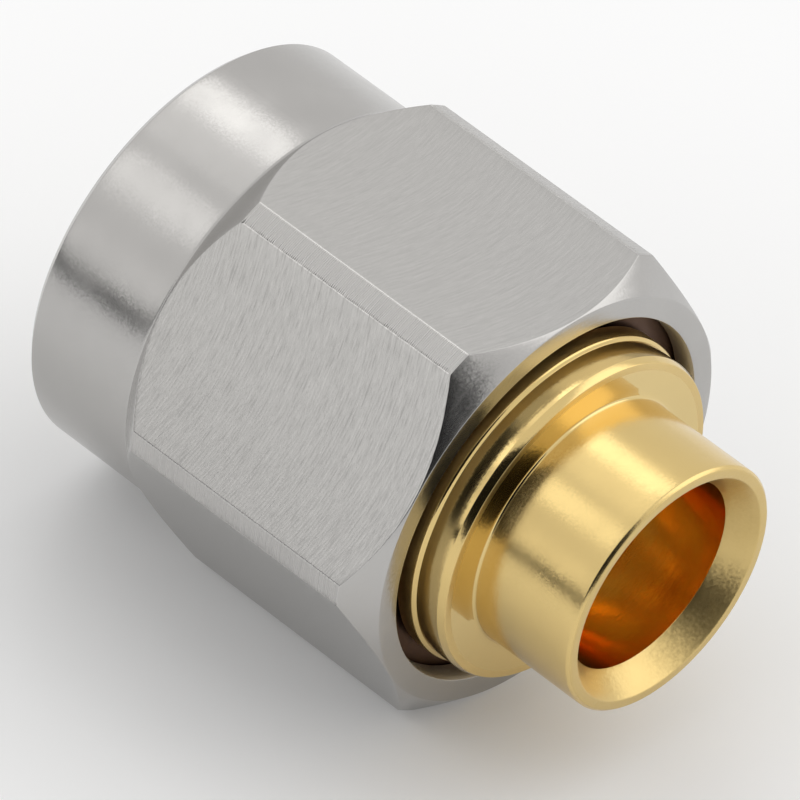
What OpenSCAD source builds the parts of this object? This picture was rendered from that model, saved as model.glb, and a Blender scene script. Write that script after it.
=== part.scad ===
// Coaxial screw connector, plug side, for semi-rigid cable: a captive hexagon
// nut on a turned, plated body. The axis lies along X. The origin is the centre
// of the mating plane, +X points out of the threaded end towards the mating
// connector, and the part lies on one flat of the hexagon. Millimetres.
// Radii grow outwards from the thread by named walls and clearances, so that
// the nut, the ring and the body keep fitting when one of them changes.

/* [Mating interface] */
// Minor diameter of the 1/4-36 thread
thread_d = 5.66; // [5.6:0.01:5.7]
// Turns of the thread per inch
thread_tpi = 36; // [34:1:38]
// Depth of the thread's groove
thread_depth = 0.34; // [0.3:0.01:0.36]
// Room between the contact tube and the thread, for the mating barrel's wall
barrel_room = 0.535; // [0.52:0.005:0.55]
// Wall of the contact tube that enters the mating barrel
tube_wall = 0.245; // [0.22:0.005:0.26]
// Distance from the mating plane back to the gasket's seat
seat_depth = 1.95; // [1.9:0.01:2]
// Diameter of the centre pin
pin_d = 0.92; // [0.9:0.01:0.94]
// How far the pin stands out of the mating plane
pin_out = 1.9; // [1.8:0.05:2]

/* [Coupling nut] */
// Length of the nut
nut_len = 8.45; // [8.3:0.05:8.7]
// How far the nut reaches in front of the mating plane
nut_reach = 2.6; // [2.5:0.05:2.7]
// Height of the corners left from the round bar above the flats of the hexagon
corner_height = 0.5; // [0.45:0.01:0.55]
// How far the round front part lies below the flats
front_inset = 0.05; // [0.02:0.01:0.15]
// Length of the round front part
front_len = 2.4; // [2:0.1:2.8]
// Length of the turned slope between the round front part and the hexagon
front_slope = 0.66; // [0.5:0.02:0.8]
// Length of the turned slope at the back of the hexagon
back_slope = 0.5; // [0.4:0.02:0.6]
// Edge break on the round front part
front_edge = 0.12; // [0.05:0.01:0.2]
// Length of the countersink that leads into the thread
lead_in = 0.4; // [0.2:0.05:0.6]
// Step from the thread's crest out to the running bore behind it
thread_step = 0.47; // [0.44:0.01:0.5]
// Room between the end of the thread and the body's flange
seat_room = 0.25; // [0.2:0.01:0.3]
// Length of the lip at the nut's back, which the ring bears on
lip_len = 0.42; // [0.35:0.01:0.5]
// Gap between that lip and the body's flange
lip_gap = 0.31; // [0.28:0.01:0.34]
// Wall left between the ring's groove and the flats
groove_wall = 0.32; // [0.3:0.01:0.4]

/* [Retaining ring] */
// Thickness of the ring along the axis
ring_t = 0.44; // [0.4:0.01:0.46]
// How far the ring reaches behind the nut's lip
ring_hold = 0.11; // [0.09:0.01:0.14]
// How far the ring reaches into the body's groove
ring_bite = 0.34; // [0.3:0.01:0.36]
// Width of the slot that lets the ring close
ring_slot = 0.9; // [0.6:0.1:1.2]
// How far the nut floats each way along the axis
float_x = 0.1; // [0.05:0.01:0.12]

/* [Body] */
// Step from the flange down to the collar behind the nut
collar_step = 0.07; // [0.04:0.01:0.1]
// How far the collar stands out of the nut's back
collar_out = 0.67; // [0.6:0.01:0.8]
// Edge break on the collar
collar_edge = 0.05; // [0.03:0.01:0.09]
// Diameter of the socket that the cable is soldered into
cable_d = 3.7; // [3.64:0.01:3.74]
// Wall of the cable sleeve
sleeve_wall = 0.56; // [0.5:0.01:0.6]
// Length of the cable sleeve behind the collar
sleeve_len = 2.19; // [2:0.01:2.4]
// Width of the countersink around the sleeve's mouth
mouth_flare = 0.34; // [0.25:0.01:0.4]
// Depth of that countersink
mouth_len = 0.49; // [0.3:0.01:0.6]
// Thickness of the step that stops the cable's jacket
stop_t = 0.3; // [0.2:0.05:0.4]
// Diameter of the hole in that step, for the cable's dielectric
stop_d = 3.04; // [3:0.02:3.2]

/* [Insulator, contact and gasket] */
// Length of the insulator
insulator_len = 3.6; // [3.4:0.05:3.7]
// Diameter of the contact inside the insulator
contact_d = 1.27; // [1.25:0.01:1.3]
// Bore of the contact's solder cup
cup_d = 0.96; // [0.94:0.01:0.98]
// Depth of that cup
cup_len = 1.3; // [1.1:0.1:1.5]
// Thickness of the gasket
gasket_t = 0.6; // [0.5:0.05:0.65]

/* [Hidden] */
$fn = 96;
over = 1;                    // how far a cutter passes the face it cuts
thread_steps = 32;           // facets in one turn of the thread

// Clearances
run_gap = 0.08;              // between the body's flange and the nut's bore
ring_gap = 0.04;             // around the ring in the nut's groove
ring_side = 0.03;            // beside the ring in the nut's groove
float_spare = 0.02;          // left in the body's groove at the end of the float
close_room = 0.08;           // under the ring, for it to close
gasket_gap = 0.08;           // between the gasket and the thread

// Small edge breaks, slopes and undercuts
edge = 0.05;                 // on the ring, the nut's lip and the collar's step
tube_edge = 0.1;             // on the contact tube
flange_edge = 0.08;          // on the front of the flange
rim_edge = 0.06;             // around the sleeve's mouth
undercut = 0.08;             // taper of the tube's root, which holds the gasket
pin_tip = 0.25;              // length of the pin's tapered tip
pin_flat = 0.2;              // radius of the flat on that tip
pin_sink = 0.06;             // how far the contact's shoulder lies behind the mating plane
cup_tip = 0.3;               // drill point at the cup's floor

// Thread, with 60 degree flanks
thread_pitch = 25.4 / thread_tpi;
root_half = 0.045;           // half the width of the flat at the groove's root
crest_cut = 0.06;            // how far the groove's cutter reaches inside the thread's crest

// Radii, from the thread inwards and outwards
thread_r = thread_d / 2;
root_r = thread_r + thread_depth;
tube_r = thread_r - barrel_room;
tube_bore_r = tube_r - tube_wall;
gasket_r = thread_r - gasket_gap;
running_r = thread_r + thread_step;
flange_r = running_r - run_gap;
collar_r = flange_r - collar_step;
back_bore_r = flange_r + lip_gap;
ring_r = back_bore_r + ring_hold;
ring_bore_r = flange_r - ring_bite;
body_groove_r = ring_bore_r - close_room;
nut_groove_r = ring_r + ring_gap;
flat_r = nut_groove_r + groove_wall;
front_r = flat_r - front_inset;
bar_r = flat_r + corner_height;
cable_r = cable_d / 2;
mouth_r = cable_r + mouth_flare;
sleeve_r = cable_r + sleeve_wall;
stop_r = stop_d / 2;
pin_r = pin_d / 2;
contact_r = contact_d / 2;
cup_r = cup_d / 2;

// Places along the axis
nut_back = nut_reach - nut_len;
slope_front = nut_reach - front_len;
hex_front = slope_front - front_slope;
hex_back = nut_back + back_slope;
thread_back = seat_room - seat_depth;
lip_front = nut_back + lip_len;
ring_back = lip_front + ring_side;
ring_front = ring_back + ring_t;
nut_groove_front = ring_front + ring_side;
body_groove_back = ring_back - float_x - float_spare;
body_groove_front = ring_front + float_x + float_spare;
gasket_front = gasket_t - seat_depth;
collar_back = nut_back - collar_out;
sleeve_back = collar_back - sleeve_len;
insulator_back = -insulator_len;
stop_back = insulator_back - stop_t;
cup_floor = insulator_back + cup_len;

// A body of revolution about X from an outline of [x, radius] points.
module turned(outline) {
    rotate([0, 90, 0]) rotate_extrude() polygon([for (p = outline) [p[1], p[0]]]);
}

// A hexagonal bar along X with flats above and below.
module hexagon_bar(flat_r, x0, x1) {
    translate([x0, 0, 0]) rotate([0, 90, 0]) rotate([0, 0, 30])
        cylinder(r = flat_r / cos(30), h = x1 - x0, $fn = 6);
}

// The bar as it leaves the lathe: round front part, two slopes, full bar between them.
module nut_blank() {
    turned([[nut_reach, 0], [nut_reach, front_r - front_edge], [nut_reach - front_edge, front_r],
            [slope_front, front_r], [hex_front, bar_r], [hex_back, bar_r],
            [nut_back, bar_r - back_slope], [nut_back, 0]]);
}

// Everything bored out of the nut: lead-in, thread, running bore, ring groove, lip.
module nut_bores() {
    turned([[nut_reach + over, 0], [nut_reach + over, thread_r + lead_in],
            [nut_reach, thread_r + lead_in], [nut_reach - lead_in, thread_r],
            [thread_back, thread_r], [thread_back, running_r],
            [nut_groove_front, running_r], [nut_groove_front, nut_groove_r],
            [lip_front, nut_groove_r], [lip_front, back_bore_r],
            [nut_back + edge, back_bore_r], [nut_back, back_bore_r + edge],
            [nut_back - over, back_bore_r + edge], [nut_back - over, 0]]);
}

// One turn of the right-hand helix has thread_steps of these sections of the groove.
function groove_section(turn) = let (
        flank = tan(30) * (thread_depth + crest_cut), inner_r = thread_r - crest_cut)
    [for (c = [[-root_half, root_r], [root_half, root_r],
               [root_half + flank, inner_r], [-root_half - flank, inner_r]])
        [c[0] + thread_pitch * turn, c[1] * cos(360 * turn), c[1] * sin(360 * turn)]];

// Cutter for the thread's groove. Both its ends lie clear of the nut.
module thread_groove() {
    first = floor((thread_back / thread_pitch - 0.6) * thread_steps);
    last = ceil((nut_reach / thread_pitch + 0.6) * thread_steps);
    count = last - first;
    polyhedron([for (i = [first:last]) each groove_section(i / thread_steps)],
        concat([[0, 2, 1], [0, 3, 2]],
            [for (i = [0:count - 1], k = [0:3]) let (a = 4 * i + k, b = 4 * i + (k + 1) % 4)
                each [[a, b, b + 4], [a, b + 4, a + 4]]],
            [[4 * count, 4 * count + 1, 4 * count + 2], [4 * count, 4 * count + 2, 4 * count + 3]]));
}

// The round front part lies below the flats, so the hexagon leaves it whole.
module coupling_nut() {
    color("silver") difference() {
        intersection() {
            nut_blank();
            hexagon_bar(flat_r, nut_back - over, nut_reach + over);
        }
        nut_bores();
        thread_groove();
    }
}

// Open ring: it closes to pass the nut's lip, then springs out into the nut's groove.
module retaining_ring() {
    color("peru") difference() {
        turned([[ring_back, ring_bore_r], [ring_front, ring_bore_r], [ring_front, ring_r - edge],
                [ring_front - edge, ring_r], [ring_back + edge, ring_r], [ring_back, ring_r - edge]]);
        translate([ring_back - over, -ring_slot / 2, 0])
            cube([ring_t + 2 * over, ring_slot, ring_r + over]);
    }
}

// Sits against the flange; its bore follows the undercut at the tube's root.
module gasket() {
    color("firebrick") turned([[-seat_depth, tube_r - undercut], [gasket_front, tube_r],
        [gasket_front, gasket_r - edge], [gasket_front - edge, gasket_r], [-seat_depth, gasket_r]]);
}

// One turned piece: contact tube, running flange with the ring's groove, collar and sleeve.
module connector_body() {
    color("goldenrod") turned([
        // contact tube, with the undercut that holds the gasket
        [0, tube_bore_r], [0, tube_r - tube_edge], [-tube_edge, tube_r],
        [gasket_front, tube_r], [-seat_depth, tube_r - undercut],
        // flange, with the groove for the retaining ring
        [-seat_depth, flange_r - flange_edge], [-seat_depth - flange_edge, flange_r],
        [body_groove_front, flange_r], [body_groove_front, body_groove_r],
        [body_groove_back, body_groove_r], [body_groove_back, flange_r], [nut_back, flange_r],
        // collar, then the sleeve and its mouth
        [nut_back - edge, collar_r], [collar_back + collar_edge, collar_r],
        [collar_back, collar_r - collar_edge], [collar_back, sleeve_r],
        [sleeve_back + rim_edge, sleeve_r], [sleeve_back, sleeve_r - rim_edge],
        [sleeve_back, mouth_r], [sleeve_back + mouth_len, cable_r],
        // cable socket, jacket stop and the insulator's cavity
        [stop_back, cable_r], [stop_back, stop_r],
        [insulator_back, stop_r], [insulator_back, tube_bore_r]]);
}

module insulator() {
    color("white") turned([[0, contact_r], [0, tube_bore_r],
        [insulator_back, tube_bore_r], [insulator_back, contact_r]]);
}

// Pin in front, solder cup for the cable's centre conductor behind.
module centre_contact() {
    color("gold") turned([[pin_out, 0], [pin_out, pin_flat], [pin_out - pin_tip, pin_r],
        [-pin_sink, pin_r], [-pin_sink, contact_r], [insulator_back, contact_r],
        [insulator_back, cup_r], [cup_floor, cup_r], [cup_floor + cup_tip, 0]]);
}

coupling_nut();
retaining_ring();
gasket();
connector_body();
insulator();
centre_contact();
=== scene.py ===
"""Coaxial screw connector plug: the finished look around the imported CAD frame.

Axis along X, threaded end towards +X, cable end towards -X, lying on a flat.
Lengths are written in millimetres and scaled to metres where meshes are made.
"""

import math

import bmesh
import bpy
from mathutils import Matrix, Vector, noise

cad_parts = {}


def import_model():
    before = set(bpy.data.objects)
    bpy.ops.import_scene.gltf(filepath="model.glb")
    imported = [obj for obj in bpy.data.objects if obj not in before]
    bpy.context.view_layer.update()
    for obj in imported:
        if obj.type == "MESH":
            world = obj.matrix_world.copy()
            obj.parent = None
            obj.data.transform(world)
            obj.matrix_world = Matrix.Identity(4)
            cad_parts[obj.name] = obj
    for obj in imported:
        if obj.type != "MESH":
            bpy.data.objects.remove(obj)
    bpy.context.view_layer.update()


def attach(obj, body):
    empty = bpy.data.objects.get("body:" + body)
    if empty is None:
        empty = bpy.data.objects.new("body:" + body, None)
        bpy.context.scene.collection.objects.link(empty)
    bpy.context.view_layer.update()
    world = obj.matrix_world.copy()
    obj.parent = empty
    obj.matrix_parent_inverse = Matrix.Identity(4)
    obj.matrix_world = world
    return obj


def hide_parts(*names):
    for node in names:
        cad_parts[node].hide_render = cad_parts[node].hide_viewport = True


MM = 0.001
TURN = 2 * math.pi
SECTOR = math.radians(60)

# Nut, outside, as it leaves the lathe and the mill
NUT_FRONT = 2.6
NUT_BACK = -5.85
FLAT_R = 4.0
BAR_R = 4.497
STRIP_EDGE = math.degrees(math.acos(FLAT_R / BAR_R))
CORNER_BLEND = 0.010
FRONT_R = 3.95
FRONT_EDGE = 0.12
SLOPE_FRONT = 0.2
SLOPE_RATE = 0.66 / 0.55
BACK_FACE_R = 3.985
HEX_ROWS = 80

# Nut, wear along the edges of its strips: places and widths in degrees from the edge
WEAR_START = -0.5
BURR_PLACE = 0.34
BURR_WIDTH = 0.3
BURR_HEIGHT = 0.0045
NOTCH_WIDTH = 0.75
NOTCH_LEAST = 0.12
NOTCH_DEPTH = 0.013
WEAR_MOST = 0.02

# Nut, inside
INSIDE_R = 3.62
BACK_BORE_R = 3.53
BACK_EDGE = 0.05
RUNNING_R = 3.30
GROOVE_R = 3.68
GROOVE_FRONT = -4.93
LIP_FRONT = -5.43
LEAD_R = 3.23
LEAD_ROWS = 12
THREAD_R = 2.83
THREAD_ROOT_R = 3.17
THREAD_FRONT = 2.2
THREAD_BACK = -1.70
THREAD_PITCH = 25.4 / 36
THREAD_START = 0.25
THREAD_ROWS = 110
ROOT_HALF = 0.045
FLANK = 0.196

# Body
TUBE_R = 2.295
TUBE_BORE_R = 2.05
TUBE_EDGE = 0.1
FLANGE_R = 3.22
FLANGE_EDGE = 0.08
FLANGE_BACK = -5.86
COLLAR_FRONT = -5.90
COLLAR_R = 3.15
COLLAR_BACK = -6.52
COLLAR_BEVEL = 0.14
COLLAR_EDGE = 0.05
SLEEVE_R = 2.41
SLEEVE_BACK = -8.71
SLEEVE_EDGE = 0.06
CABLE_R = 1.85
MOUTH_R = 2.19
MOUTH_LEN = 0.49
STOP_R = 1.52
STOP_BACK = -3.9
RING_GROOVE_R = 2.80
RING_GROOVE_BACK = -5.52
RING_GROOVE_FRONT = -4.84

# Insulator
INSULATOR_FRONT = -0.012
INSULATOR_BACK = -3.6
INSULATOR_GAP = 0.01
INSULATOR_R = TUBE_BORE_R - 0.012
INSULATOR_FRONT_HOLE_R = 0.66
INSULATOR_BACK_HOLE_R = 0.645

# Gasket
GASKET_SEAT = -1.95
GASKET_FRONT = -1.35
GASKET_UNDERCUT = 0.08
GASKET_GAP = 0.004
GASKET_R = 2.75
GASKET_BACK_HOLE_R = TUBE_R - 0.074
GASKET_FRONT_HOLE_R = TUBE_R + 0.006

# Centre contact: a pin in front, a hole for the cable's conductor behind
PIN_TIP = 1.9
PIN_TIP_R = 0.2
PIN_TAPER = 1.65
PIN_R = 0.46
CONTACT_FRONT = -0.06
CONTACT_BACK = -3.6
CONTACT_R = 0.635
SOLDER_HOLE_R = 0.48
SOLDER_HOLE_FRONT = -2.3
SOLDER_HOLE_TIP = -2.0

# Retaining ring
RING_BACK = -5.40
RING_FRONT = -4.96
RING_BORE_R = 2.88
RING_R = 3.64
RING_SLOT_HALF = 0.45

# Material slots of the nut
NUT_TURNED, NUT_MILLED, NUT_BAR, NUT_BORE, NUT_LIP = range(5)

# Material slots of the body
BODY_SLEEVE, BODY_POLISHED, BODY_BORE, BODY_COLLAR, BODY_MOUTH, BODY_FLANGE = range(6)

# Colours
STEEL = (0.475, 0.465, 0.452, 1)
# rough steel of the lip's inside wall, lighter and warmer than the other steel as painted
# light
STEEL_ROUGH_PAINTED_LIGHT = (0.6, 0.58, 0.55, 1)
STEEL_STRIP = (0.525, 0.514, 0.5, 1)
STREAK_DARK = (0.425, 0.418, 0.405, 1)
STREAK_LIGHT = (0.62, 0.608, 0.592, 1)
GOLD = (0.72, 0.535, 0.225, 1)
GOLD_BRIGHT = (0.74, 0.565, 0.25, 1)
GOLD_GRAINY = (0.67, 0.5, 0.21, 1)
# painted reflection: the cable hole's gold deepened and brightened to stand in for its many
# reflections of gold
GOLD_PAINTED_REFLECTIONS = (0.96, 0.7, 0.26, 1)
# painted shade: the ring's copper darkened for the shade inside the nut's lip
COPPER_PAINTED_SHADE = (0.1, 0.055, 0.035, 1)
PLASTIC_DARK = (0.80, 0.79, 0.76, 1)
PLASTIC_LIGHT = (0.86, 0.855, 0.83, 1)
RUBBER_DARK = (0.36, 0.045, 0.03, 1)
RUBBER_LIGHT = (0.47, 0.07, 0.045, 1)
PAPER = (0.93, 0.93, 0.93, 1)
FLAG_BLACK = (0.012, 0.012, 0.012, 1)
TENT_WHITE = (1, 0.995, 0.985, 1)

# Scales of the fine textures, in cycles per metre or per radian
FINE = 26000.0
RING_BREAKS = 2.5
STAINS = 420.0

# Mill's arcs on the flats: their size, how far each mark tilts the surface, and how
# much of the streaks' colour it gives
MILL_R = 6.7 * MM
MILL_FEED = 0.065 * MM
MILL_WANDER = 0.03 * MM
STEP_TILT = 0.08
LONG_TILT = 0.16
SHORT_TILT = 0.12
STEP_SHARE = 0.06
LONG_SHARE = 0.55
SHORT_SHARE = 0.45
STREAK_MIDDLE = 0.44
FINE_FEED_CONTRAST = 0.28

# Lathe's ridges on the strips
BAR_FEED = 0.0375 * MM
BAR_WANDER = 0.008 * MM
RIDGE_TILT = 0.4
UNEVEN_TILT = 0.3

# Floor and dark cards round the object; angles in degrees
FLOOR_Z = -4.0
FLOOR_RADIUS = 0.7
MATT = 0.9
OPENING_PLACE = (133, 25)
OPENING_HALF = (40, 34)
OPENING_DISTANCE = 0.45
GAP_START = 22
GAP_SWEEP = 76
GAP_STEPS = 24
GAP_DISTANCE = 57 * MM
GAP_TOP = 4.2

# Tent's light: its level, and azimuth, elevation, radius, softness and strength of
# each brighter patch
TENT_LEVEL = 0.9
SOFT_BOXES = [
    (-35, 54, 9, 3, 1.25),
    (-2, 61, 12, 5, 0.32),
    (45, 46, 9, 3, 0.70),
    (60, 13, 7, 4, 0.17),
    (-122, 38, 27, 5, 0.85),
]

# Camera: its place and its own directions to the right and up
CAMERA_PLACE = Vector((-98.27, 119.65, 132.58)) * MM
CAMERA_RIGHT = Vector((-0.709414, -0.695422, 0.114541))
CAMERA_UP = Vector((0.522787, -0.410226, 0.747267))
CAMERA_LENS = 540
CAMERA_SENSOR = 36


# ---------------------------------------------------------------- meshes

def fillet(before, corner, after, radius, steps):
    """Points of an arc that rounds a corner of an outline, always steps + 1 of them."""
    here = Vector(corner)
    to_a = Vector(before) - here
    to_b = Vector(after) - here
    reach = 0.45 * min(to_a.length, to_b.length)
    to_a.normalize()
    to_b.normalize()
    bend = max(1e-4, math.pi - to_a.angle(to_b))
    tangent = min(reach, radius * math.tan(bend / 2))
    start = here + to_a * tangent
    end = here + to_b * tangent
    points = []
    for i in range(steps + 1):
        t = i / steps
        # a quadratic curve stays within 10 micrometres of the arc at these sizes
        points.append(start * (1 - t) ** 2 + here * 2 * t * (1 - t) + end * t ** 2)
    return points


def smooth_outline(corners, closed=True, steps=3):
    """Outline of (x, radius, fillet, rows) corners as a list of (x, radius) points.

    rows is how many extra points divide the straight run after the corner; it may
    be left out. An open outline keeps its two end corners sharp.
    """
    count = len(corners)
    runs = []
    for i, corner in enumerate(corners):
        if not closed and i in (0, count - 1):
            runs.append([Vector(corner[:2])])
            continue
        before = corners[i - 1][:2]
        after = corners[(i + 1) % count][:2]
        runs.append(fillet(before, corner[:2], after, corner[2], steps))
    points = []
    for i, run in enumerate(runs):
        points.extend(run)
        if not closed and i == count - 1:
            break
        following = runs[(i + 1) % count][0]
        rows = corners[i][3] if len(corners[i]) > 3 else 0
        for k in range(1, rows + 1):
            points.append(run[-1].lerp(following, k / (rows + 1)))
    return points


def place(x, radius, angle):
    """Point in metres from its place along the axis, its radius and its angle from +Z."""
    return (x * MM, radius * math.sin(angle) * MM, radius * math.cos(angle) * MM)


def finish_mesh(name, verts, faces, materials, slots=None):
    """Mesh object with outward, area-weighted smooth normals and its materials."""
    mesh = bpy.data.meshes.new(name)
    mesh.from_pydata(verts, [], faces)
    if slots is not None:
        mesh.polygons.foreach_set("material_index", slots)
    mesh.polygons.foreach_set("use_smooth", [True] * len(mesh.polygons))
    shaped = bmesh.new()
    shaped.from_mesh(mesh)
    bmesh.ops.recalc_face_normals(shaped, faces=shaped.faces)
    shaped.to_mesh(mesh)
    shaped.free()
    for material in materials:
        mesh.materials.append(material)
    piece = bpy.data.objects.new(name, mesh)
    bpy.context.scene.collection.objects.link(piece)
    weighted = piece.modifiers.new("normals", "WEIGHTED_NORMAL")
    weighted.keep_sharp = True
    return piece


def grid(name, columns, materials, slot_of=None):
    """Closed skin over a ring of closed outlines, equally long lists of points."""
    wide = len(columns)
    high = len(columns[0])
    verts = [p for column in columns for p in column]
    faces = []
    slots = []
    for i in range(wide):
        j = (i + 1) % wide
        for k in range(high):
            m = (k + 1) % high
            faces.append((i * high + k, j * high + k, j * high + m, i * high + m))
            slots.append(slot_of(i, k) if slot_of else 0)
    return finish_mesh(name, verts, faces, materials, slots)


def lathe(name, corners, materials, segments, slot_at=None, steps=3):
    """Body of revolution about X from a closed outline of corners."""
    outline = smooth_outline(corners, True, steps)
    columns = []
    for i in range(segments):
        angle = TURN * i / segments
        columns.append([place(p[0], p[1], angle) for p in outline])
    if slot_at is None:
        return grid(name, columns, materials)
    row_slots = []
    for k, p in enumerate(outline):
        q = outline[(k + 1) % len(outline)]
        row_slots.append(slot_at((p[0] + q[0]) / 2, (p[1] + q[1]) / 2))
    return grid(name, columns, materials, lambda i, k: row_slots[k])


# ---------------------------------------------------------------- nut

def flat_angle(angle):
    """Angle from the middle of the nearest flat."""
    return (angle + SECTOR / 2) % SECTOR - SECTOR / 2


def edge_wear(x, angle):
    """How far the bar stands above (+) or below (-) its round beside a milled flat.

    The mill leaves a fine rolled burr where it leaves each flat, and small torn
    notches where it enters.
    """
    side = math.degrees(flat_angle(angle))
    beyond = abs(side) - STRIP_EDGE
    if beyond < WEAR_START:
        return 0.0
    # each flat has its own stretch of the noise
    seed = round(angle * 3 / math.pi) * 7.3
    if side > 0:
        ridge = max(0.0, 1 - abs(beyond - BURR_PLACE) / BURR_WIDTH)
        uneven = 0.75 + 0.5 * noise.noise(Vector((x * 5.0, seed, 0.0)))
        return BURR_HEIGHT * ridge * ridge * uneven
    reach = NOTCH_WIDTH + 1.1 * noise.noise(Vector((x * 3.1, seed, 4.0)))
    reach += 0.7 * noise.noise(Vector((x * 9.0, seed, 8.0)))
    depth = max(0.0, 1 - max(0.0, beyond) / max(NOTCH_LEAST, reach))
    return -NOTCH_DEPTH * depth


def hexagon_radius(angle, x=None):
    """Radius of the milled hexagon, eased into the round bar at its corners.

    With x given, the bar's edges are worn as they are at that place.
    """
    milled = FLAT_R / math.cos(flat_angle(angle))
    bar = BAR_R if x is None else BAR_R + edge_wear(x, angle)
    near = max(CORNER_BLEND - abs(milled - bar), 0) / CORNER_BLEND
    return min(milled, bar) - near * near * CORNER_BLEND / 4


def hexagon_ends(outer):
    """Where the rear chamfer ends and the front slope starts, at the radius outer."""
    return NUT_BACK + (outer - BACK_FACE_R), SLOPE_FRONT - (outer - FRONT_R) * SLOPE_RATE


def thread_radius(x, angle):
    """Inside radius of the right-hand thread: a flat root between two 60 degree flanks."""
    turns = (x / THREAD_PITCH + angle / TURN + THREAD_START) % 1.0
    away = abs(turns - 0.5) * THREAD_PITCH
    t = min(1.0, max(0.0, (away - ROOT_HALF) / FLANK))
    return THREAD_ROOT_R + (THREAD_R - THREAD_ROOT_R) * t


def nut_outside(angle):
    """Outline from the rear bore's edge, over the outside, to the front lead-in."""
    outer = hexagon_radius(angle)
    edge_back, edge_front = hexagon_ends(outer)
    corners = [
        (NUT_BACK + BACK_EDGE, BACK_BORE_R, 0.02, 0),
        (NUT_BACK, BACK_BORE_R + BACK_EDGE, 0.02, 2),
        (NUT_BACK, BACK_FACE_R, 0.02, 2),
        (edge_back, outer, 0.03, HEX_ROWS),
        (edge_front, outer, 0.03, 2),
        (SLOPE_FRONT, FRONT_R, 0.12, 10),
        (NUT_FRONT - FRONT_EDGE, FRONT_R, 0.03, 0),
        (NUT_FRONT, FRONT_R - FRONT_EDGE, 0.03, 2),
        (NUT_FRONT, LEAD_R, 0.03, 0),
        (THREAD_FRONT, THREAD_R, 0),
    ]
    points = smooth_outline(corners, False)[1:-1]
    for point in points:
        if abs(point.y - outer) < 1e-6:
            point.y = hexagon_radius(angle, point.x)
    return points


def nut_thread(angle):
    """Outline of the lead-in cone and the thread."""
    points = []
    for k in range(1, LEAD_ROWS + 1):
        x = NUT_FRONT + (THREAD_FRONT - NUT_FRONT) * k / LEAD_ROWS
        cone = LEAD_R + (THREAD_R - LEAD_R) * k / LEAD_ROWS
        points.append(Vector((x, max(cone, thread_radius(x, angle)))))
    for k in range(1, THREAD_ROWS + 1):
        x = THREAD_FRONT + (THREAD_BACK - THREAD_FRONT) * k / THREAD_ROWS
        points.append(Vector((x, thread_radius(x, angle))))
    return points


def nut_inside(angle):
    """Outline behind the thread: running bore, ring groove and rear lip."""
    corners = [
        (THREAD_BACK, thread_radius(THREAD_BACK, angle), 0),
        (THREAD_BACK, RUNNING_R, 0.03, 6),
        (GROOVE_FRONT, RUNNING_R, 0.03, 0),
        (GROOVE_FRONT, GROOVE_R, 0.03, 1),
        (LIP_FRONT, GROOVE_R, 0.03, 0),
        (LIP_FRONT, BACK_BORE_R, 0.03, 2),
        (NUT_BACK + BACK_EDGE, BACK_BORE_R, 0),
    ]
    return smooth_outline(corners, False)[1:-1]


def nut_angles():
    """Column angles over the whole turn, closer together at the strips' edges."""
    half = [0.0]
    steps = 13
    for k in range(1, steps + 1):
        half.append((STRIP_EDGE - 0.7) * k / steps)
    for beyond in (-0.3, -0.15, 0, 0.12, 0.24, 0.36, 0.5, 0.66, 0.84, 1.05, 1.3, 1.9):
        half.append(STRIP_EDGE + beyond)
    sector = sorted(set([-a for a in half] + half)) + [30.0]
    angles = []
    for k in range(6):
        angles += [math.radians(60 * k + a) for a in sector]
    return angles


def make_nut(materials):
    """Coupling nut, with the flats, the strips, the thread and its wear in the mesh."""
    angles = nut_angles()
    wide = len(angles)
    columns = []
    for angle in angles:
        outline = nut_outside(angle) + nut_thread(angle) + nut_inside(angle)
        columns.append([place(p[0], p[1], angle) for p in outline])

    def slot_of(i, k):
        here = columns[i][k]
        ahead = columns[i][(k + 1) % len(columns[i])]
        x = (here[0] + ahead[0]) / 2 / MM
        r = math.hypot(here[1], here[2]) / MM
        q = math.hypot(ahead[1], ahead[2]) / MM
        angle = angles[i]
        following = angles[(i + 1) % wide]
        if following < angle:
            following += TURN
        side = abs(math.degrees(flat_angle((angle + following) / 2)))
        if x < LIP_FRONT + 0.02 and (r + q) / 2 < BACK_BORE_R + 0.03:
            return NUT_LIP
        if (r + q) / 2 < INSIDE_R:
            return NUT_BORE
        outer = hexagon_radius(angle)
        on_hexagon = abs(r - outer) < WEAR_MOST and abs(q - outer) < WEAR_MOST
        if on_hexagon and x < SLOPE_FRONT - 0.05:
            edge_back, edge_front = hexagon_ends(outer)
            if edge_back < x < edge_front:
                return NUT_BAR if side > STRIP_EDGE else NUT_MILLED
        return NUT_TURNED

    return grid("coupling_nut_turned", columns, materials, slot_of)


# ---------------------------------------------------------------- other pieces

def body_slot(x, r):
    """Material slot of the body's surface at a place on its outline."""
    if x < SLEEVE_BACK + 0.02 or (x < SLEEVE_BACK + MOUTH_LEN and r < MOUTH_R + 0.01):
        return BODY_MOUTH
    if x < COLLAR_BACK - 0.02 and r > CABLE_R + 0.3:
        return BODY_SLEEVE
    if r < CABLE_R + 0.05 and x < STOP_BACK + 0.05:
        return BODY_BORE
    if COLLAR_BACK + 0.01 < x < -5.8 and r > COLLAR_R - 0.2:
        return BODY_COLLAR
    if x < RING_GROOVE_BACK + 0.01 and r > COLLAR_R - 0.2:
        return BODY_FLANGE
    return BODY_POLISHED


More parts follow.
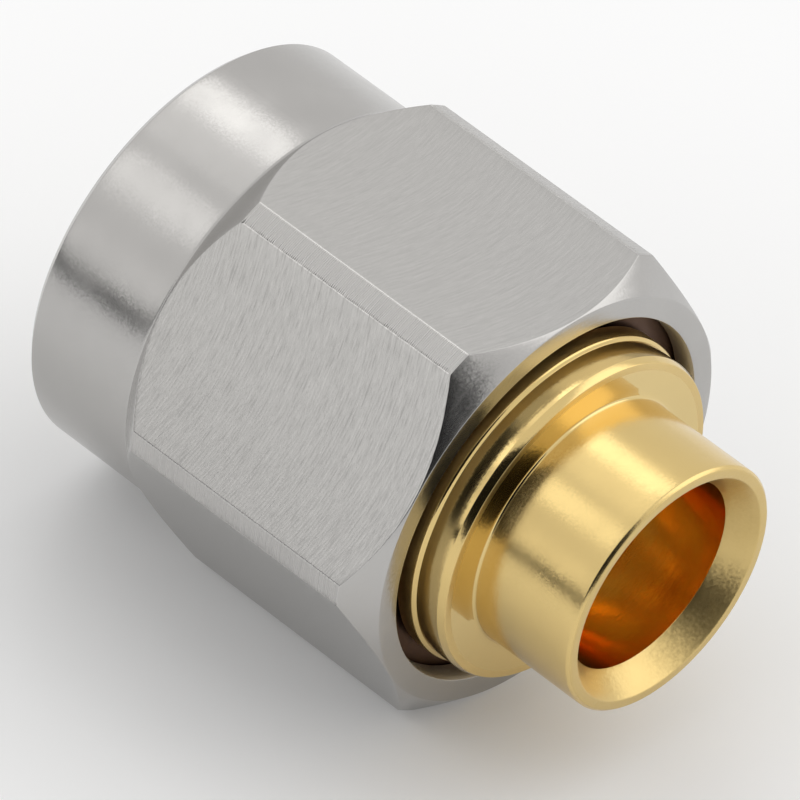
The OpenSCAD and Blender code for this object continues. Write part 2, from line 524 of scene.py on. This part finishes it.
def make_body(materials):
    """Plated body: contact tube, flange, ring groove, collar and solder sleeve."""
    corners = [
        (0, TUBE_BORE_R, 0.02, 0),
        (0, TUBE_R - TUBE_EDGE, 0.03, 0),
        (-TUBE_EDGE, TUBE_R, 0.03, 2),
        (GASKET_FRONT, TUBE_R, 0.02, 0),
        (GASKET_SEAT, TUBE_R - GASKET_UNDERCUT, 0.02, 0),
        (GASKET_SEAT, FLANGE_R - FLANGE_EDGE, 0.02, 0),
        (GASKET_SEAT - FLANGE_EDGE, FLANGE_R, 0.02, 4),
        (RING_GROOVE_FRONT, FLANGE_R, 0.02, 0),
        (RING_GROOVE_FRONT, RING_GROOVE_R, 0.03, 0),
        (RING_GROOVE_BACK, RING_GROOVE_R, 0.03, 0),
        (RING_GROOVE_BACK, FLANGE_R, 0.03, 1),
        (FLANGE_BACK, FLANGE_R, 0.05, 0),
        (COLLAR_FRONT, COLLAR_R, 0.01, 3),
        (COLLAR_BACK + COLLAR_BEVEL, COLLAR_R, 0.02, 0),
        (COLLAR_BACK, COLLAR_R - COLLAR_EDGE, 0.025, 4),
        (COLLAR_BACK, SLEEVE_R, 0.06, 8),
        (SLEEVE_BACK + SLEEVE_EDGE, SLEEVE_R, 0.05, 0),
        (SLEEVE_BACK, SLEEVE_R - SLEEVE_EDGE, 0.05, 0),
        (SLEEVE_BACK, MOUTH_R, 0.04, 3),
        (SLEEVE_BACK + MOUTH_LEN, CABLE_R, 0.03, 8),
        (STOP_BACK, CABLE_R, 0.05, 0),
        (STOP_BACK, STOP_R, 0.03, 0),
        (INSULATOR_BACK, STOP_R, 0.03, 0),
        (INSULATOR_BACK, TUBE_BORE_R, 0.03, 4),
    ]
    return lathe("connector_body_turned", corners, materials, 240, body_slot)


def make_insulator(material):
    """White plastic bead that holds the contact in the middle of the tube."""
    corners = [
        (INSULATOR_FRONT, INSULATOR_FRONT_HOLE_R, 0.03, 3),
        (INSULATOR_FRONT, INSULATOR_R, 0.05, 6),
        (INSULATOR_BACK + INSULATOR_GAP, INSULATOR_R, 0.03, 2),
        (INSULATOR_BACK + INSULATOR_GAP, INSULATOR_BACK_HOLE_R, 0.03, 4),
    ]
    return lathe("insulator_turned", corners, [material], 128)


def make_gasket(material):
    """Rubber gasket on its seat in front of the flange."""
    corners = [
        (GASKET_SEAT + GASKET_GAP, GASKET_BACK_HOLE_R, 0.02, 0),
        (GASKET_FRONT, GASKET_FRONT_HOLE_R, 0.06, 2),
        (GASKET_FRONT, GASKET_R, 0.16, 1),
        (GASKET_SEAT + GASKET_GAP, GASKET_R, 0.08, 2),
    ]
    return lathe("gasket_moulded", corners, [material], 128, steps=5)


def make_contact(material):
    """Centre contact: its outline runs from axis to axis, so fans close its ends."""
    corners = [
        (PIN_TIP, 0.0, 0),
        (PIN_TIP, PIN_TIP_R, 0.05, 0),
        (PIN_TAPER, PIN_R, 0.12, 6),
        (CONTACT_FRONT, PIN_R, 0.02, 0),
        (CONTACT_FRONT, CONTACT_R, 0.03, 6),
        (CONTACT_BACK, CONTACT_R, 0.04, 0),
        (CONTACT_BACK, SOLDER_HOLE_R, 0.03, 4),
        (SOLDER_HOLE_FRONT, SOLDER_HOLE_R, 0.03, 1),
        (SOLDER_HOLE_TIP, 0.0, 0),
    ]
    outline = smooth_outline(corners, False)
    segments = 96
    verts = [place(outline[0][0], 0, 0), place(outline[-1][0], 0, 0)]
    rings = outline[1:-1]
    for p in rings:
        for i in range(segments):
            verts.append(place(p[0], p[1], TURN * i / segments))
    faces = []
    last = 2 + (len(rings) - 1) * segments
    for i in range(segments):
        j = (i + 1) % segments
        faces.append((0, 2 + i, 2 + j))
        faces.append((1, last + j, last + i))
        for k in range(len(rings) - 1):
            a = 2 + k * segments
            b = a + segments
            faces.append((a + i, b + i, b + j, a + j))
    return finish_mesh("centre_contact_turned", verts, faces, [material])


def make_ring(material):
    """Open retaining ring: a rounded section swept around with a slot at the top."""
    section = smooth_outline([
        (RING_BACK, RING_BORE_R, 0.03),
        (RING_FRONT, RING_BORE_R, 0.03),
        (RING_FRONT, RING_R, 0.06),
        (RING_BACK, RING_R, 0.06),
    ])
    segments = 150
    high = len(section)
    verts = []
    for i in range(segments + 1):
        for p in section:
            gap = math.asin(RING_SLOT_HALF / p[1])
            angle = gap + (TURN - 2 * gap) * i / segments
            verts.append(place(p[0], p[1], angle))
    faces = []
    for i in range(segments):
        for k in range(high):
            m = (k + 1) % high
            faces.append((i * high + k, (i + 1) * high + k, (i + 1) * high + m, i * high + m))
    faces.append(tuple(range(high)))
    faces.append(tuple(segments * high + k for k in range(high)))
    return finish_mesh("retaining_ring_formed", verts, faces, [material])


# ---------------------------------------------------------------- nodes

class Tree:
    """Short way to add shader nodes and join them up."""

    def __init__(self, tree):
        self.tree = tree
        self.tree.nodes.clear()

    def add(self, kind, **settings):
        node = self.tree.nodes.new(kind)
        for key, value in settings.items():
            setattr(node, key, value)
        return node

    def link(self, source, target):
        self.tree.links.new(source, target)

    def put(self, socket, value):
        """Link an output to a socket, or write a plain value on it."""
        if hasattr(value, "is_linked"):
            self.link(value, socket)
        else:
            socket.default_value = value

    def math(self, operation, a, b=0.0):
        node = self.add("ShaderNodeMath", operation=operation)
        self.put(node.inputs[0], a)
        self.put(node.inputs[1], b)
        return node.outputs[0]

    def vector(self, operation, a, b=(0.0, 0.0, 0.0), scale=1.0):
        node = self.add("ShaderNodeVectorMath", operation=operation)
        self.put(node.inputs[0], a)
        self.put(node.inputs[1], b)
        if operation == "SCALE":
            self.put(node.inputs["Scale"], scale)
        return node.outputs["Value" if operation in ("LENGTH", "DOT_PRODUCT") else "Vector"]

    def split(self, vector):
        node = self.add("ShaderNodeSeparateXYZ")
        self.link(vector, node.inputs[0])
        return node.outputs

    def join(self, x, y, z):
        node = self.add("ShaderNodeCombineXYZ")
        for socket, value in zip(node.inputs, (x, y, z)):
            self.put(socket, value)
        return node.outputs[0]

    def noise(self, vector, scale, detail, roughness=0.5, output="Fac"):
        node = self.add("ShaderNodeTexNoise")
        self.link(vector, node.inputs["Vector"])
        node.inputs["Scale"].default_value = scale
        node.inputs["Detail"].default_value = detail
        node.inputs["Roughness"].default_value = roughness
        return node.outputs[output]

    def remap(self, value, low, high, to_low, to_high, smooth=True):
        node = self.add("ShaderNodeMapRange")
        node.interpolation_type = "SMOOTHSTEP" if smooth else "LINEAR"
        self.link(value, node.inputs["Value"])
        node.inputs["From Min"].default_value = low
        node.inputs["From Max"].default_value = high
        node.inputs["To Min"].default_value = to_low
        node.inputs["To Max"].default_value = to_high
        return node.outputs["Result"]

    def blend(self, factor, first, second):
        node = self.add("ShaderNodeMix", data_type="RGBA")
        self.put(node.inputs["Factor"], factor)
        self.put(node.inputs["A"], first)
        self.put(node.inputs["B"], second)
        return node.outputs["Result"]

    def swing(self, value, amount):
        """value of about 0..1 turned into about -amount..amount."""
        return self.math("MULTIPLY", self.math("SUBTRACT", value, 0.5), 2 * amount)


class Nodes(Tree):
    """A material's nodes: its shader, and the object's own places and directions."""

    def __init__(self, name):
        self.material = bpy.data.materials.new(name)
        self.material.use_nodes = True
        super().__init__(self.material.node_tree)
        self.shader = self.add("ShaderNodeBsdfPrincipled")
        self.output = self.add("ShaderNodeOutputMaterial")
        self.link(self.shader.outputs[0], self.output.inputs["Surface"])
        inputs = self.add("ShaderNodeTexCoord")
        self.coords = inputs.outputs["Object"]
        self.normal = inputs.outputs["Normal"]

    def set(self, name, value):
        self.put(self.shader.inputs[name], value)

    def grain(self, scale, amount):
        """Tilt of a fine grain, the same in all directions."""
        speckle = self.noise(self.coords, scale, 2.0, output="Color")
        centred = self.vector("SUBTRACT", speckle, (0.5, 0.5, 0.5))
        return self.vector("SCALE", centred, scale=2 * amount)

    def dents(self, scale, share, radius, depth):
        """Tilt of small round dents, in some of the cells of a loose pattern."""
        cells = self.add("ShaderNodeTexVoronoi")
        self.link(self.coords, cells.inputs["Vector"])
        cells.inputs["Scale"].default_value = scale
        draws = self.split(cells.outputs["Color"])
        away = self.vector("SUBTRACT", self.coords, cells.outputs["Position"])
        size = self.remap(draws[1], 0, 1, 0.4 * radius, radius)
        near = self.math("LESS_THAN", self.vector("LENGTH", away), size)
        chosen = self.math("LESS_THAN", draws[0], share)
        pull = self.math("MULTIPLY", self.math("MULTIPLY", near, chosen), depth / radius)
        return self.vector("SCALE", away, scale=pull)

    def tilt(self, *tilts):
        """Lean the surface's normal by vectors given in the object's own directions."""
        total = self.normal
        for lean in tilts:
            total = self.vector("ADD", total, lean)
        turned = self.add("ShaderNodeVectorTransform", vector_type="NORMAL",
                          convert_from="OBJECT", convert_to="WORLD")
        self.link(total, turned.inputs[0])
        self.set("Normal", self.vector("NORMALIZE", turned.outputs[0]))

    def stained(self, color, tone):
        """Base colour that drifts a little lighter and darker over the piece."""
        drift = self.noise(self.coords, STAINS, 3, 0.55)
        dark = tuple(c * (1 - tone) for c in color[:3]) + (1,)
        light = tuple(min(1, c * (1 + tone)) for c in color[:3]) + (1,)
        self.set("Base Color", self.blend(self.remap(drift, 0.3, 0.7, 0, 1), dark, light))


def lay_coords(n):
    """x, y, z, distance from the axis and angle round it, from +Z towards +Y."""
    x, y, z = n.split(n.coords)
    radius = n.math("SQRT", n.math("ADD", n.math("MULTIPLY", y, y), n.math("MULTIPLY", z, z)))
    return x, y, z, radius, n.math("ARCTAN2", y, z)


def turned_lines(n, amount, scale=FINE):
    """Tilt of the fine rings that a lathe tool leaves, along the piece's profile."""
    x, y, z, radius, angle = lay_coords(n)
    spot = n.join(n.math("MULTIPLY", x, scale), n.math("MULTIPLY", radius, scale),
                  n.math("MULTIPLY", angle, RING_BREAKS))
    around = n.vector("NORMALIZE", n.join(0.0, z, n.math("MULTIPLY", y, -1.0)))
    profile = n.vector("CROSS_PRODUCT", n.normal, around)
    rings = n.swing(n.noise(spot, 1.0, 3, 0.6), amount)
    return n.vector("SCALE", profile, scale=rings)


# ---------------------------------------------------------------- materials

def metal(name, color, roughness, rough_swing, rings, grain, tone=0.04, dents=None,
          grain_scale=FINE):
    """Turned metal: fine rings, a faint grain, uneven polish and slight stains.

    dents gives the scale, share, radius and depth of small dents.
    """
    n = Nodes(name)
    polish = n.noise(n.coords, 900, 4, 0.6)
    n.set("Roughness", n.remap(polish, 0.3, 0.7, roughness - rough_swing,
                               roughness + rough_swing))
    n.set("Metallic", 1.0)
    n.stained(color, tone)
    tilts = [turned_lines(n, rings), n.grain(grain_scale, grain)]
    if dents:
        tilts.append(n.dents(*dents))
    n.tilt(*tilts)
    return n.material


def steel_turned():
    """Nut's turned outside."""
    return metal("steel_turned", STEEL, roughness=0.24, rough_swing=0.03, rings=0.045,
                 grain=0.05, dents=(3000, 0.35, 0.02 * MM, 0.3))


def steel_lip():
    """Bored inside of the nut's rear lip, left rough by the tool, its grey made lighter and
    warmer as painted light on the inside wall.
    """
    return metal("steel_lip", STEEL_ROUGH_PAINTED_LIGHT, roughness=0.55, rough_swing=0.05, rings=0.12,
                 grain=0.1, tone=0.05)


def steel_bore():
    """Nut's bore and thread."""
    return metal("steel_bore", STEEL, roughness=0.22, rough_swing=0.04, rings=0.06,
                 grain=0.03)


def milled_places(n):
    """Places on the mill's arcs: along the axis, across the flat, and the flat's number."""
    x, _, _, radius, turn = lay_coords(n)
    from_corner = n.math("ADD", turn, SECTOR / 2)
    side = n.math("SUBTRACT", n.math("FLOORED_MODULO", from_corner, SECTOR), SECTOR / 2)
    across = n.math("MULTIPLY", radius, n.math("SINE", side))
    drop = n.math("SQRT", n.math("SUBTRACT", MILL_R * MILL_R,
                                 n.math("MULTIPLY", across, across)))
    wander = n.math("MULTIPLY", n.noise(n.coords, 700, 2), MILL_WANDER)
    along = n.math("ADD", n.math("ADD", x, drop), wander)
    return along, across, n.math("FLOOR", n.math("DIVIDE", from_corner, SECTOR))


def steel_milled():
    """Flats: arcs left by the face mill across each flat, as small tilts and streaks."""
    n = Nodes("steel_milled")
    along, across, which = milled_places(n)

    def streaks(fineness, breaks):
        spot = n.join(n.math("MULTIPLY", along, fineness), n.math("MULTIPLY", across, breaks),
                      which)
        return n.noise(spot, 1.0, 2, 0.6)

    # every other flat was cut with a coarser feed
    coarse = n.math("FLOORED_MODULO", which, 2.0)
    contrast = n.math("ADD", FINE_FEED_CONTRAST,
                      n.math("MULTIPLY", coarse, 1 - FINE_FEED_CONTRAST))
    phase = n.math("FRACT", n.math("DIVIDE", along, MILL_FEED))
    long_streaks = streaks(30000.0, 1200.0)
    short_streaks = streaks(24000.0, 3600.0)

    lean = n.math("ADD", n.swing(phase, STEP_TILT), n.swing(long_streaks, LONG_TILT))
    lean = n.math("ADD", lean, n.swing(short_streaks, SHORT_TILT))
    lean = n.math("MULTIPLY", lean, contrast)
    n.tilt(n.join(lean, 0.0, 0.0), n.grain(FINE, 0.035), n.dents(1500, 0.3, 0.02 * MM, 0.3))

    # the contrast changes from flat to flat and the middle of the mix stays the same
    cut = n.math("ADD", n.math("MULTIPLY", long_streaks, LONG_SHARE),
                 n.math("MULTIPLY", phase, STEP_SHARE))
    cut = n.math("ADD", cut, n.math("MULTIPLY", short_streaks, SHORT_SHARE))
    cut = n.math("MULTIPLY", n.math("SUBTRACT", cut, STREAK_MIDDLE), contrast)
    cut = n.math("ADD", STREAK_MIDDLE, cut)
    n.set("Base Color", n.blend(n.remap(cut, 0.36, 0.70, 0, 1, smooth=False),
                                STREAK_DARK, STREAK_LIGHT))
    n.set("Roughness", n.remap(long_streaks, 0.3, 0.7, 0.23, 0.26))
    n.set("Metallic", 1.0)
    return n.material


def steel_bar():
    """Strips of the turned bar left between the flats: regular ridges across the axis."""
    n = Nodes("steel_bar")
    x, _, _, _, turn = lay_coords(n)
    along = n.math("ADD", x, n.math("MULTIPLY", n.noise(n.coords, 1500, 2), BAR_WANDER))
    phase = n.math("FRACT", n.math("DIVIDE", along, BAR_FEED))
    spot = n.join(n.math("MULTIPLY", x, 30000.0), n.math("MULTIPLY", turn, 4.0), 0.0)
    uneven = n.noise(spot, 1.0, 2, 0.6)
    lean = n.math("ADD", n.swing(phase, RIDGE_TILT), n.swing(uneven, UNEVEN_TILT))
    n.tilt(n.join(lean, 0.0, 0.0), n.grain(FINE, 0.04))
    n.stained(STEEL_STRIP, 0.03)
    n.set("Roughness", n.remap(uneven, 0.3, 0.7, 0.25, 0.32))
    n.set("Metallic", 1.0)
    return n.material


def gold_satin():
    """Sleeve: a fine satin with faint specks."""
    return metal("gold_satin", GOLD, roughness=0.23, rough_swing=0.03, rings=0.03,
                 grain=0.05, tone=0.02, dents=(4000, 0.3, 0.016 * MM, 0.2))


def gold_collar():
    """Collar's outside: turned, with a faint sheen of fine lines."""
    return metal("gold_collar", GOLD, roughness=0.13, rough_swing=0.03, rings=0.035,
                 grain=0.03, tone=0.02)


def gold_flange():
    """Flange's edge, dull and uneven where it stays inside the nut."""
    return metal("gold_flange", GOLD, roughness=0.34, rough_swing=0.05, rings=0.08,
                 grain=0.1, tone=0.05)


def gold_polished():
    """Collar's rear face and the other faces that mirror their surroundings."""
    return metal("gold_polished", GOLD_BRIGHT, roughness=0.07, rough_swing=0.02,
                 rings=0.012, grain=0.008, tone=0.02)


def gold_mouth():
    """Countersink and rim: a grainy satin cut."""
    return metal("gold_mouth", GOLD_GRAINY, roughness=0.36, rough_swing=0.04, rings=0.05,
                 grain=0.12, tone=0.03, grain_scale=20000.0)


def gold_bore():
    """Cable's hole: a deeper, brighter gold, a painted reflection that stands in for the gold
    mirrored many times inside it.
    """
    return metal("gold_bore", GOLD_PAINTED_REFLECTIONS, roughness=0.14, rough_swing=0.03, rings=0.03,
                 grain=0.02, tone=0.03)


def gold_contact():
    """Centre contact."""
    return metal("gold_contact", GOLD_BRIGHT, roughness=0.12, rough_swing=0.03,
                 rings=0.03, grain=0.02, tone=0.03)


def spring_copper():
    """Retaining ring: copper alloy, darkened as painted shade for its place inside the nut's
    lip.
    """
    return metal("spring_copper", COPPER_PAINTED_SHADE, roughness=0.42, rough_swing=0.06,
                 rings=0.06, grain=0.05, tone=0.12)


def plastic_white():
    """Insulator: waxy white plastic with faint turned rings."""
    n = Nodes("insulator_white")
    x, _, _, radius, _ = lay_coords(n)
    rings = n.noise(n.join(x, radius, 0.0), 14000, 4, 0.6)
    tone = n.noise(n.coords, 800, 3)
    n.set("Base Color", n.blend(n.remap(tone, 0.3, 0.7, 0, 1), PLASTIC_DARK, PLASTIC_LIGHT))
    n.set("Roughness", n.remap(rings, 0.3, 0.7, 0.38, 0.5))
    n.set("Subsurface Weight", 0.2)
    n.set("Subsurface Scale", 0.4 * MM)
    n.tilt(turned_lines(n, 0.08, 14000.0))
    return n.material


def rubber_red():
    """Gasket: dull red rubber with a fine speckle."""
    n = Nodes("gasket_red")
    speckle = n.noise(n.coords, 9000, 4, 0.6)
    n.set("Base Color", n.blend(n.remap(speckle, 0.3, 0.7, 0, 1), RUBBER_DARK, RUBBER_LIGHT))
    n.set("Roughness", n.remap(speckle, 0.3, 0.7, 0.42, 0.58))
    n.tilt(n.grain(9000, 0.15))
    return n.material


# ---------------------------------------------------------------- stage

def direction(azimuth, elevation):
    """Unit vector, azimuth from +X towards +Y, in degrees."""
    a = math.radians(azimuth)
    e = math.radians(elevation)
    return Vector((math.cos(a) * math.cos(e), math.sin(a) * math.cos(e), math.sin(e)))


def matt(name, color):
    """Nodes of a matt material with no gloss."""
    n = Nodes(name)
    n.set("Base Color", color)
    n.set("Roughness", MATT)
    n.set("Specular IOR Level", 0.0)
    return n


def floor_material():
    """Matt white paper, partly shown as plain white, so that the shadow stays light."""
    n = matt("floor_paper", PAPER)
    ray = n.add("ShaderNodeLightPath").outputs
    seen = n.math("ADD", n.math("ADD", ray["Is Camera Ray"], ray["Is Glossy Ray"]),
                  ray["Is Transmission Ray"])
    white = n.add("ShaderNodeEmission")
    white.inputs["Strength"].default_value = 1.0
    mix = n.add("ShaderNodeMixShader")
    # less plain white close to the object, where its shadow lies
    far = n.vector("LENGTH", n.vector("ADD", n.coords, (3 * MM, 0.0, 0.0)))
    share = n.remap(far, 5 * MM, 18 * MM, 0.12, 0.72)
    n.link(n.math("MULTIPLY", seen, share), mix.inputs[0])
    n.link(n.shader.outputs[0], mix.inputs[1])
    n.link(white.outputs[0], mix.inputs[2])
    n.link(mix.outputs[0], n.output.inputs["Surface"])
    return n.material


def disc(name, radius, segments):
    """Flat round object in the XY plane."""
    mesh = bpy.data.meshes.new(name)
    shaped = bmesh.new()
    bmesh.ops.create_circle(shaped, cap_ends=True, segments=segments, radius=radius)
    shaped.to_mesh(mesh)
    shaped.free()
    return bpy.data.objects.new(name, mesh)


def make_floor():
    floor = disc("floor", FLOOR_RADIUS, 96)
    floor.location.z = FLOOR_Z * MM
    floor.data.materials.append(floor_material())
    bpy.context.scene.collection.objects.link(floor)


def tent_opening():
    """Oval card that faces the object, where the tent is open."""
    opening = disc("tent_opening", 1.0, 64)
    facing = direction(*OPENING_PLACE)
    turn = facing.to_track_quat("Z", "Y").to_matrix().to_4x4()
    half = [OPENING_DISTANCE * math.tan(math.radians(a)) for a in OPENING_HALF]
    size = Matrix.Diagonal((half[0], half[1], 1, 1))
    opening.matrix_world = Matrix.Translation(facing * OPENING_DISTANCE) @ turn @ size
    return opening


def low_flag():
    """Low curved card that stands on the floor, as the gap over the table's edge."""
    verts = []
    faces = []
    for i in range(GAP_STEPS + 1):
        a = math.radians(GAP_START + GAP_SWEEP * i / GAP_STEPS)
        for z in (FLOOR_Z * MM, GAP_TOP * MM):
            verts.append((GAP_DISTANCE * math.cos(a), GAP_DISTANCE * math.sin(a), z))
    for i in range(GAP_STEPS):
        faces.append((2 * i, 2 * i + 2, 2 * i + 3, 2 * i + 1))
    mesh = bpy.data.meshes.new("low_flag")
    mesh.from_pydata(verts, [], faces)
    return bpy.data.objects.new("low_flag", mesh)


def make_flags():
    """Black cards that the metal mirrors and the camera doesn't see."""
    black = matt("flag_black", FLAG_BLACK).material
    for flag in (tent_opening(), low_flag()):
        flag.data.materials.append(black)
        flag.visible_camera = False
        bpy.context.scene.collection.objects.link(flag)


def make_world():
    """White tent whose soft boxes are smooth patches of brighter sky."""
    world = bpy.data.worlds.new("tent")
    bpy.context.scene.world = world
    world.use_nodes = True
    sky = Tree(world.node_tree)
    coords = sky.add("ShaderNodeTexCoord").outputs["Generated"]
    total = TENT_LEVEL
    for azimuth, elevation, radius, soft, strength in SOFT_BOXES:
        towards = sky.vector("DOT_PRODUCT", coords, direction(azimuth, elevation))
        outer = math.cos(math.radians(radius + soft))
        inner = math.cos(math.radians(radius - soft))
        total = sky.math("ADD", sky.remap(towards, outer, inner, 0.0, strength), total)
    background = sky.add("ShaderNodeBackground")
    background.inputs["Color"].default_value = TENT_WHITE
    sky.link(total, background.inputs["Strength"])
    output = sky.add("ShaderNodeOutputWorld")
    sky.link(background.outputs[0], output.inputs["Surface"])


def make_camera():
    data = bpy.data.cameras.new("camera")
    data.sensor_width = CAMERA_SENSOR
    data.lens = CAMERA_LENS
    data.clip_start = 0.01
    data.clip_end = 5
    camera = bpy.data.objects.new("camera", data)
    back = CAMERA_RIGHT.cross(CAMERA_UP)
    turn = Matrix((CAMERA_RIGHT, CAMERA_UP, back)).transposed().to_4x4()
    # the optical axis meets the frame's middle, so no lens shift is needed
    camera.matrix_world = Matrix.Translation(CAMERA_PLACE) @ turn
    bpy.context.scene.collection.objects.link(camera)
    bpy.context.scene.camera = camera


def main():
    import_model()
    bpy.context.scene.view_settings.view_transform = "Standard"
    # light reaches the bores only after many reflections
    bpy.context.scene.cycles.glossy_bounces = 10
    make_camera()
    make_floor()
    make_flags()
    make_world()
    nut = make_nut([steel_turned(), steel_milled(), steel_bar(), steel_bore(), steel_lip()])
    body = make_body([gold_satin(), gold_polished(), gold_bore(), gold_collar(), gold_mouth(),
                      gold_flange()])
    pieces = [
        (nut, "nut", "coupling_nut", "nut_steel"),
        (body, "ferrule", "connector_body", "body_gold"),
        (make_insulator(plastic_white()), "ferrule", "insulator", "insulator_plastic"),
        (make_gasket(rubber_red()), "ferrule", "gasket", "gasket_rubber"),
        (make_contact(gold_contact()), "ferrule", "centre_contact", "contact_gold"),
        (make_ring(spring_copper()), "ring", "retaining_ring", "ring_copper"),
    ]
    for piece, carrier, node, slot in pieces:
        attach(piece, carrier)
        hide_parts(node)
    bpy.context.view_layer.update()


main()
